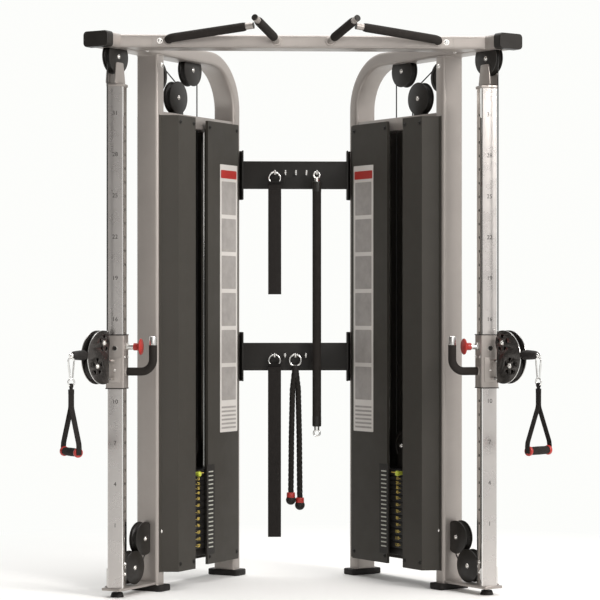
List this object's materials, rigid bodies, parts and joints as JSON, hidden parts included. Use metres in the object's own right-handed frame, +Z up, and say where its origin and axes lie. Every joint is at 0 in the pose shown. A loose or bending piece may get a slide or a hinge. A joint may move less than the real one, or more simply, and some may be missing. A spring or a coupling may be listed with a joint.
{
  "type": "functional trainer",
  "caption": "Cable crossover gym machine with two angled towers, sliding pulley carriages, shrouded weight stacks, a chin-up beam and racks of hanging accessories.",
  "frame": {"origin": "centre of the bounding box's footprint, on the floor", "axes": "+Z up, +Y to the accessory racks at the back, -Y towards the user's front, +X to the right tower"},
  "size_m": [1.8834, 1.0959, 2.2421],
  "materials": {
    "silver_paint": "silver-grey powder coat, satin",
    "chrome": "polished plate",
    "black_plastic": "moulded, fine grain",
    "black_steel": "black gloss paint",
    "foam": "closed-cell foam, matte",
    "charcoal_sheet": "charcoal powder coat, matte",
    "cast_iron": "black enamel, matte",
    "red_plastic": "red moulding",
    "lime_plastic": "yellow-green moulding",
    "webbing": "woven nylon",
    "cable_coat": "nylon coat over steel cable",
    "rope_fibre": "braided fibre"
  },
  "bodies": {
    "frame": {"left_side_frame": "silver_paint", "left_end_cap": "black_plastic", "left_guide_post": "chrome", "left_front_shroud": "charcoal_sheet", "left_rear_shroud": "charcoal_sheet", "left_outer_shroud": "charcoal_sheet", "left_weight_stack": "cast_iron", "left_main_cable": "cable_coat", "left_post_cable": "cable_coat", "right_side_frame": "silver_paint", "right_end_cap": "black_plastic", "right_guide_post": "chrome", "right_front_shroud": "charcoal_sheet", "right_rear_shroud": "charcoal_sheet", "right_outer_shroud": "charcoal_sheet", "right_weight_stack": "cast_iron", "right_main_cable": "cable_coat", "right_post_cable": "cable_coat", "cross_beam": "silver_paint", "wide_grip_left": "foam", "wide_grip_right": "foam", "neutral_grip_left": "foam", "neutral_grip_right": "foam", "upper_rack": "black_steel", "lower_rack": "black_steel"},
    "left_carriage": {"left_carriage": "silver_paint"},
    "left_pop_pin": {"left_pop_pin": "red_plastic"},
    "left_housing": {"left_pulley_housing": "black_steel"},
    "left_swing_upper": {"left_swing_pulley_upper": "black_plastic"},
    "left_swing_lower": {"left_swing_pulley_lower": "black_plastic"},
    "left_cable_end": {"left_handle_clip": "black_plastic"},
    "left_strap": {"left_handle_strap": "webbing"},
    "left_grip": {"left_handle_grip": "foam"},
    "left_lift": {"left_head_plate": "cast_iron"},
    "left_selector": {"left_selector_pin": "lime_plastic"},
    "left_top_front": {"left_top_front_pulley": "black_plastic"},
    "left_top_rear": {"left_top_rear_pulley": "black_plastic"},
    "left_shroud_wheel": {"left_shroud_pulley": "black_plastic"},
    "left_lower_rear": {"left_lower_rear_pulley": "black_plastic"},
    "left_lower_front": {"left_lower_front_pulley": "black_plastic"},
    "right_carriage": {"right_carriage": "silver_paint"},
    "right_pop_pin": {"right_pop_pin": "red_plastic"},
    "right_housing": {"right_pulley_housing": "black_steel"},
    "right_swing_upper": {"right_swing_pulley_upper": "black_plastic"},
    "right_swing_lower": {"right_swing_pulley_lower": "black_plastic"},
    "right_cable_end": {"right_handle_clip": "black_plastic"},
    "right_strap": {"right_handle_strap": "webbing"},
    "right_grip": {"right_handle_grip": "foam"},
    "right_lift": {"right_head_plate": "cast_iron"},
    "right_selector": {"right_selector_pin": "lime_plastic"},
    "right_top_front": {"right_top_front_pulley": "black_plastic"},
    "right_top_rear": {"right_top_rear_pulley": "black_plastic"},
    "right_shroud_wheel": {"right_shroud_pulley": "black_plastic"},
    "right_lower_rear": {"right_lower_rear_pulley": "black_plastic"},
    "right_lower_front": {"right_lower_front_pulley": "black_plastic"},
    "short_strap": {"short_strap": "webbing"},
    "straight_bar": {"straight_bar": "black_plastic"},
    "long_strap": {"long_strap": "webbing"},
    "triceps_rope": {"triceps_rope": "rope_fibre"}
  },
  "joints": [
    {"name": "left_carriage_slide", "type": "slide", "parent": "frame", "child": "left_carriage", "axis": [0, 0, 1], "range_m": [-0.4815, 0.9095], "deforming": ["left_post_cable"]},
    {"name": "left_pop_pin_slide", "type": "slide", "parent": "left_carriage", "child": "left_pop_pin", "axis": [0.9763, -0.2164, 0], "range_m": [-0.0095, 0]},
    {"name": "left_housing_swivel", "type": "hinge", "parent": "left_carriage", "child": "left_housing", "pos_m": [-0.76162, -0.28265, 0.9765], "axis": [0, 0, 1], "range_deg": [-70, 50]},
    {"name": "left_swing_upper_spin", "type": "hinge", "parent": "left_housing", "child": "left_swing_upper", "pos_m": [-0.78521, -0.32039, 0.992], "axis": [0.848, -0.5299, 0], "continuous": true},
    {"name": "left_swing_lower_spin", "type": "hinge", "parent": "left_housing", "child": "left_swing_lower", "pos_m": [-0.80905, -0.35856, 0.903], "axis": [0.848, -0.5299, 0], "continuous": true},
    {"name": "left_handle_pull", "type": "slide", "parent": "left_housing", "child": "left_cable_end", "axis": [-0.5299, -0.848, 0], "range_m": [0, 1.2]},
    {"name": "left_handle_swing", "type": "hinge", "parent": "left_cable_end", "child": "left_strap", "pos_m": [-0.88897, -0.48644, 0.8329], "axis": [0.8704, 0.4924, 0], "range_deg": [-35, 35]},
    {"name": "left_grip_spin", "type": "hinge", "parent": "left_strap", "child": "left_grip", "pos_m": [-0.88897, -0.48644, 0.5834], "axis": [0.4924, -0.8704, 0], "continuous": true},
    {"name": "left_stack_lift", "type": "slide", "parent": "frame", "child": "left_lift", "axis": [0, 0, 1], "range_m": [0, 0.6], "deforming": ["left_main_cable"]},
    {"name": "left_selector_slide", "type": "slide", "parent": "left_lift", "child": "left_selector", "axis": [0.848, -0.5299, 0], "range_m": [0, 0.03]},
    {"name": "left_top_front_spin", "type": "hinge", "parent": "frame", "child": "left_top_front", "pos_m": [-0.73248, -0.23601, 2.107], "axis": [0.848, -0.5299, 0], "continuous": true},
    {"name": "left_top_rear_spin", "type": "hinge", "parent": "frame", "child": "left_top_rear", "pos_m": [-0.44367, 0.22617, 2.107], "axis": [0.848, -0.5299, 0], "continuous": true},
    {"name": "left_shroud_wheel_spin", "type": "hinge", "parent": "frame", "child": "left_shroud_wheel", "pos_m": [-0.50196, 0.13289, 1.985], "axis": [0.848, -0.5299, 0], "continuous": true},
    {"name": "left_lower_rear_spin", "type": "hinge", "parent": "frame", "child": "left_lower_rear", "pos_m": [-0.63338, -0.07743, 0.212], "axis": [0.848, -0.5299, 0], "continuous": true},
    {"name": "left_lower_front_spin", "type": "hinge", "parent": "frame", "child": "left_lower_front", "pos_m": [-0.67207, -0.13933, 0.104], "axis": [0.848, -0.5299, 0], "continuous": true},
    {"name": "right_carriage_slide", "type": "slide", "parent": "frame", "child": "right_carriage", "axis": [0, 0, 1], "range_m": [-0.4815, 0.9095], "deforming": ["right_post_cable"]},
    {"name": "right_pop_pin_slide", "type": "slide", "parent": "right_carriage", "child": "right_pop_pin", "axis": [-0.9763, -0.2164, 0], "range_m": [-0.0095, 0]},
    {"name": "right_housing_swivel", "type": "hinge", "parent": "right_carriage", "child": "right_housing", "pos_m": [0.76162, -0.28265, 0.9765], "axis": [0, 0, -1], "range_deg": [-70, 50]},
    {"name": "right_swing_upper_spin", "type": "hinge", "parent": "right_housing", "child": "right_swing_upper", "pos_m": [0.78521, -0.32039, 0.992], "axis": [0.848, 0.5299, 0], "continuous": true},
    {"name": "right_swing_lower_spin", "type": "hinge", "parent": "right_housing", "child": "right_swing_lower", "pos_m": [0.80905, -0.35856, 0.903], "axis": [0.848, 0.5299, 0], "continuous": true},
    {"name": "right_handle_pull", "type": "slide", "parent": "right_housing", "child": "right_cable_end", "axis": [0.5299, -0.848, 0], "range_m": [0, 1.2]},
    {"name": "right_handle_swing", "type": "hinge", "parent": "right_cable_end", "child": "right_strap", "pos_m": [0.88897, -0.48644, 0.8329], "axis": [0.6691, -0.7431, 0], "range_deg": [-35, 35]},
    {"name": "right_grip_spin", "type": "hinge", "parent": "right_strap", "child": "right_grip", "pos_m": [0.88897, -0.48644, 0.5834], "axis": [-0.7431, -0.6691, 0], "continuous": true},
    {"name": "right_stack_lift", "type": "slide", "parent": "frame", "child": "right_lift", "axis": [0, 0, 1], "range_m": [0, 0.6], "deforming": ["right_main_cable"]},
    {"name": "right_selector_slide", "type": "slide", "parent": "right_lift", "child": "right_selector", "axis": [-0.848, -0.5299, 0], "range_m": [0, 0.03]},
    {"name": "right_top_front_spin", "type": "hinge", "parent": "frame", "child": "right_top_front", "pos_m": [0.73248, -0.23601, 2.107], "axis": [0.848, 0.5299, 0], "continuous": true},
    {"name": "right_top_rear_spin", "type": "hinge", "parent": "frame", "child": "right_top_rear", "pos_m": [0.44367, 0.22617, 2.107], "axis": [0.848, 0.5299, 0], "continuous": true},
    {"name": "right_shroud_wheel_spin", "type": "hinge", "parent": "frame", "child": "right_shroud_wheel", "pos_m": [0.50196, 0.13289, 1.985], "axis": [0.848, 0.5299, 0], "continuous": true},
    {"name": "right_lower_rear_spin", "type": "hinge", "parent": "frame", "child": "right_lower_rear", "pos_m": [0.63338, -0.07743, 0.212], "axis": [0.848, 0.5299, 0], "continuous": true},
    {"name": "right_lower_front_spin", "type": "hinge", "parent": "frame", "child": "right_lower_front", "pos_m": [0.67207, -0.13933, 0.104], "axis": [0.848, 0.5299, 0], "continuous": true},
    {"name": "short_strap_swing", "type": "hinge", "parent": "frame", "child": "short_strap", "pos_m": [-0.088, 0.395, 1.695], "axis": [1, 0, 0], "range_deg": [-12, 0]},
    {"name": "straight_bar_swing", "type": "hinge", "parent": "frame", "child": "straight_bar", "pos_m": [0.088, 0.3704, 1.695], "axis": [1, 0, 0], "range_deg": [-8, 0]},
    {"name": "long_strap_swing", "type": "hinge", "parent": "frame", "child": "long_strap", "pos_m": [-0.088, 0.417, 0.928], "axis": [1, 0, 0], "range_deg": [-12, 0]},
    {"name": "triceps_rope_swing", "type": "hinge", "parent": "frame", "child": "triceps_rope", "pos_m": [0, 0.417, 0.928], "axis": [1, 0, 0], "range_deg": [-12, 0]}
  ],
  "couplings": [
    {"joint": "left_handle_pull", "follows": "left_stack_lift", "ratio": 2},
    {"joint": "left_top_front_spin", "follows": "left_stack_lift", "rad_per_m": 36.364},
    {"joint": "left_top_rear_spin", "follows": "left_stack_lift", "rad_per_m": 36.364},
    {"joint": "left_swing_upper_spin", "follows": "left_stack_lift", "rad_per_m": -44.944},
    {"joint": "left_shroud_wheel_spin", "follows": "left_carriage_slide", "rad_per_m": 18.182},
    {"joint": "left_lower_rear_spin", "follows": "left_carriage_slide", "rad_per_m": -18.182},
    {"joint": "left_lower_front_spin", "follows": "left_carriage_slide", "rad_per_m": -18.182},
    {"joint": "right_handle_pull", "follows": "right_stack_lift", "ratio": 2},
    {"joint": "right_top_front_spin", "follows": "right_stack_lift", "rad_per_m": 36.364},
    {"joint": "right_top_rear_spin", "follows": "right_stack_lift", "rad_per_m": 36.364},
    {"joint": "right_swing_upper_spin", "follows": "right_stack_lift", "rad_per_m": -44.944},
    {"joint": "right_shroud_wheel_spin", "follows": "right_carriage_slide", "rad_per_m": 18.182},
    {"joint": "right_lower_rear_spin", "follows": "right_carriage_slide", "rad_per_m": -18.182},
    {"joint": "right_lower_front_spin", "follows": "right_carriage_slide", "rad_per_m": -18.182}
  ]
}
